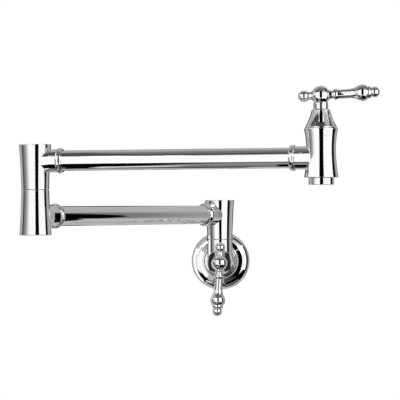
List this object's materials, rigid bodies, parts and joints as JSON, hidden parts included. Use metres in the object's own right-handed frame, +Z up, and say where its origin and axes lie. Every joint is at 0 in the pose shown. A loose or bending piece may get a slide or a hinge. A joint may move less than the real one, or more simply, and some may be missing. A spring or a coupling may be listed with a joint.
{
  "type": "wall mounted pot filler",
  "caption": "Chrome wall mounted pot filler: double-jointed swing arm with a lever valve at the wall and another at the spout.",
  "frame": {"origin": "on the inlet's axis, in the plane of the finished wall", "axes": "+Y into the wall along the inlet, +Z up, +X to the right along the wall as seen from the room"},
  "size_m": [0.3427, 0.3542, 0.2261],
  "materials": {
    "chrome": "polished chrome plate on brass",
    "brass": "machined, unplated",
    "steel": "stainless set screws",
    "black_rubber": "moulded, matt",
    "ceramic": "lapped alumina",
    "white_plastic": "moulded"
  },
  "bodies": {
    "wall_unit": {"inlet_nipple": "brass", "wall_flange": "chrome", "flange_gasket": "black_rubber", "flange_oring": "black_rubber", "wall_body": "chrome", "wall_cartridge_housing": "brass", "wall_cartridge_oring": "black_rubber", "wall_fixed_disc": "ceramic", "wall_disc_seal": "black_rubber", "wall_bonnet": "chrome", "post_spindle": "brass", "post_oring_lower": "black_rubber", "post_oring_upper": "black_rubber", "post_thrust_washer": "black_rubber"},
    "wall_handle": {"wall_hub": "chrome", "wall_lever": "chrome", "wall_finial": "chrome", "wall_hub_screw": "steel", "wall_stem": "brass", "wall_moving_disc": "ceramic"},
    "lower_arm": {"post_barrel": "chrome", "post_set_screw": "steel", "post_ferrule": "chrome", "lower_tube": "chrome", "elbow_lower_ferrule": "chrome", "elbow_lower_barrel": "chrome", "elbow_spindle": "brass", "elbow_oring_lower": "black_rubber", "elbow_oring_upper": "black_rubber", "elbow_thrust_washer": "black_rubber"},
    "upper_arm": {"elbow_upper_barrel": "chrome", "elbow_set_screw": "steel", "elbow_upper_ferrule": "chrome", "upper_tube": "chrome", "spout_ferrule": "chrome", "spout_body": "chrome", "spout_cartridge_housing": "brass", "spout_cartridge_oring": "black_rubber", "spout_fixed_disc": "ceramic", "spout_disc_seal": "black_rubber", "spout_bonnet": "chrome", "aerator_housing": "chrome", "aerator_insert": "white_plastic", "aerator_washer": "black_rubber"},
    "spout_handle": {"spout_hub": "chrome", "spout_lever": "chrome", "spout_finial": "chrome", "spout_hub_screw": "steel", "spout_stem": "brass", "spout_moving_disc": "ceramic"}
  },
  "joints": [
    {"name": "lower_arm_swivel", "type": "hinge", "parent": "wall_unit", "child": "lower_arm", "pos_m": [0, -0.055, 0.024], "axis": [0, 0, 1], "range_deg": [-51, 129]},
    {"name": "elbow_swivel", "type": "hinge", "parent": "lower_arm", "child": "upper_arm", "pos_m": [-0.17432, -0.27027, 0.0757], "axis": [0, 0, 1], "continuous": true},
    {"name": "wall_valve_turn", "type": "hinge", "parent": "wall_unit", "child": "wall_handle", "pos_m": [0, -0.0715, 0], "axis": [0, -1, 0], "range_deg": [0, 90]},
    {"name": "spout_valve_turn", "type": "hinge", "parent": "upper_arm", "child": "spout_handle", "pos_m": [0.09847, -0.31837, 0.1309], "axis": [0, 0, 1], "range_deg": [0, 90]}
  ]
}
